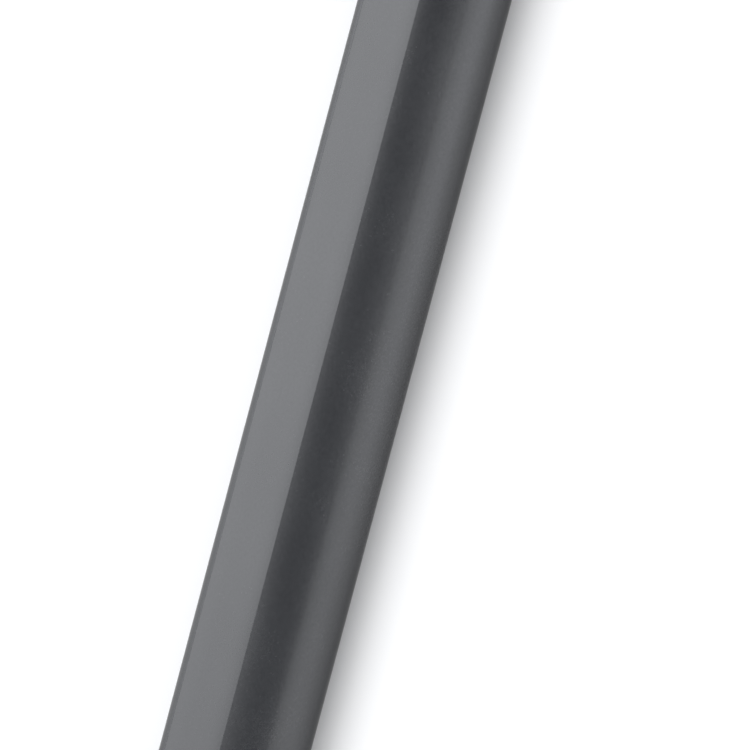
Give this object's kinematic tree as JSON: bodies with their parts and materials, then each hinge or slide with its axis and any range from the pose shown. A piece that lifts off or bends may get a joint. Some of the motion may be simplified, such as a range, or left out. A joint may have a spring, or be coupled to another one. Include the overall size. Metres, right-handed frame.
{
  "type": "active stylus",
  "caption": "Slim active stylus with a D-section metal barrel, a magnetic flat side, a rocker button, a pressure-sensing nib and a pull-off tail cap with an eraser button.",
  "frame": {"origin": "middle of the pen's length, under its axis, on the surface that it lies on", "axes": "+X from the nib towards the tail along the pen, +Z out of the flat side"},
  "size_m": [0.146, 0.0096, 0.0094],
  "materials": {
    "barrel_metal": "satin",
    "nose_plastic": "satin",
    "nib_plastic": "satin",
    "button_plastic": "satin",
    "eraser_plastic": "matte",
    "trim_metal": "satin",
    "frame_plastic": "matte",
    "spring_steel": "satin",
    "chassis_steel": "satin",
    "contact_brass": "satin",
    "sensor_ceramic": "matte",
    "amber_film": "satin",
    "circuit_board": "satin",
    "chip_black": "satin",
    "clear_plastic": "gloss",
    "magnet_nickel": "satin",
    "black_rubber": "matte",
    "cell_metal": "satin",
    "cell_paste": "matte"
  },
  "bodies": {
    "pen": {"barrel": "barrel_metal", "nose_cone": "nose_plastic", "tilt_electrode": "contact_brass", "nib_spring": "spring_steel", "spring_seat": "spring_steel", "sensor_housing": "frame_plastic", "pressure_pad": "black_rubber", "pressure_sensor": "sensor_ceramic", "sensor_backplate": "frame_plastic", "sensor_flex": "amber_film", "button_pin": "spring_steel", "button_bracket": "spring_steel", "light_pipe": "clear_plastic", "magnet_front": "magnet_nickel", "magnet_rear": "magnet_nickel", "magnet_carrier": "frame_plastic", "chassis": "chassis_steel", "main_board": "circuit_board", "board_screw_front": "spring_steel", "board_screw_rear": "spring_steel", "front_switch": "chip_black", "rear_switch": "chip_black", "flex_connector": "chip_black", "status_led": "sensor_ceramic", "controller_chip": "chip_black", "radio_chip": "chip_black", "crystal": "spring_steel", "power_coil": "sensor_ceramic", "contact_block": "frame_plastic", "positive_contact": "contact_brass"},
    "nib_carrier": {"nib_holder": "frame_plastic"},
    "nib_piece": {"nib": "nib_plastic"},
    "rocker": {"side_button": "button_plastic"},
    "cell": {"cell_can": "cell_metal", "cell_top": "spring_steel", "cell_seal": "black_rubber", "cell_core": "cell_paste"},
    "cap": {"cap_plug": "frame_plastic", "seal_ring": "black_rubber", "negative_spring": "spring_steel", "spring_plate": "contact_brass", "contact_pin": "contact_brass", "tail_sleeve": "barrel_metal", "tail_board": "circuit_board", "tail_switch": "chip_black", "tail_spring": "spring_steel", "button_retainer": "frame_plastic", "tail_ring": "trim_metal"},
    "eraser": {"eraser_button": "eraser_plastic"}
  },
  "joints": [
    {"name": "nib_press", "type": "slide", "parent": "pen", "child": "nib_carrier", "axis": [1, 0, 0], "range_m": [0, 0.0003], "stiffness_N_per_m": 800, "deforming": ["nib_spring"]},
    {"name": "nib_pull", "type": "slide", "parent": "nib_carrier", "child": "nib_piece", "axis": [-1, 0, 0], "range_m": [0, 0.016]},
    {"name": "button_rock", "type": "hinge", "parent": "pen", "child": "rocker", "pos_m": [-0.033, 0, 0.00756], "axis": [0, 1, 0], "range_deg": [-2, 2], "stiffness_Nm_per_rad": 0.15},
    {"name": "cap_pull", "type": "slide", "parent": "pen", "child": "cap", "axis": [1, 0, 0], "range_m": [0, 0.08], "deforming": ["negative_spring"]},
    {"name": "cell_slide", "type": "slide", "parent": "pen", "child": "cell", "axis": [1, 0, 0], "range_m": [0, 0.044]},
    {"name": "eraser_press", "type": "slide", "parent": "cap", "child": "eraser", "axis": [-1, 0, 0], "range_m": [0, 0.0005], "stiffness_N_per_m": 1500, "deforming": ["tail_spring"]}
  ],
  "couplings": [
    {"joint": "cell_slide", "follows": "cap_pull", "ratio": 0.55}
  ]
}
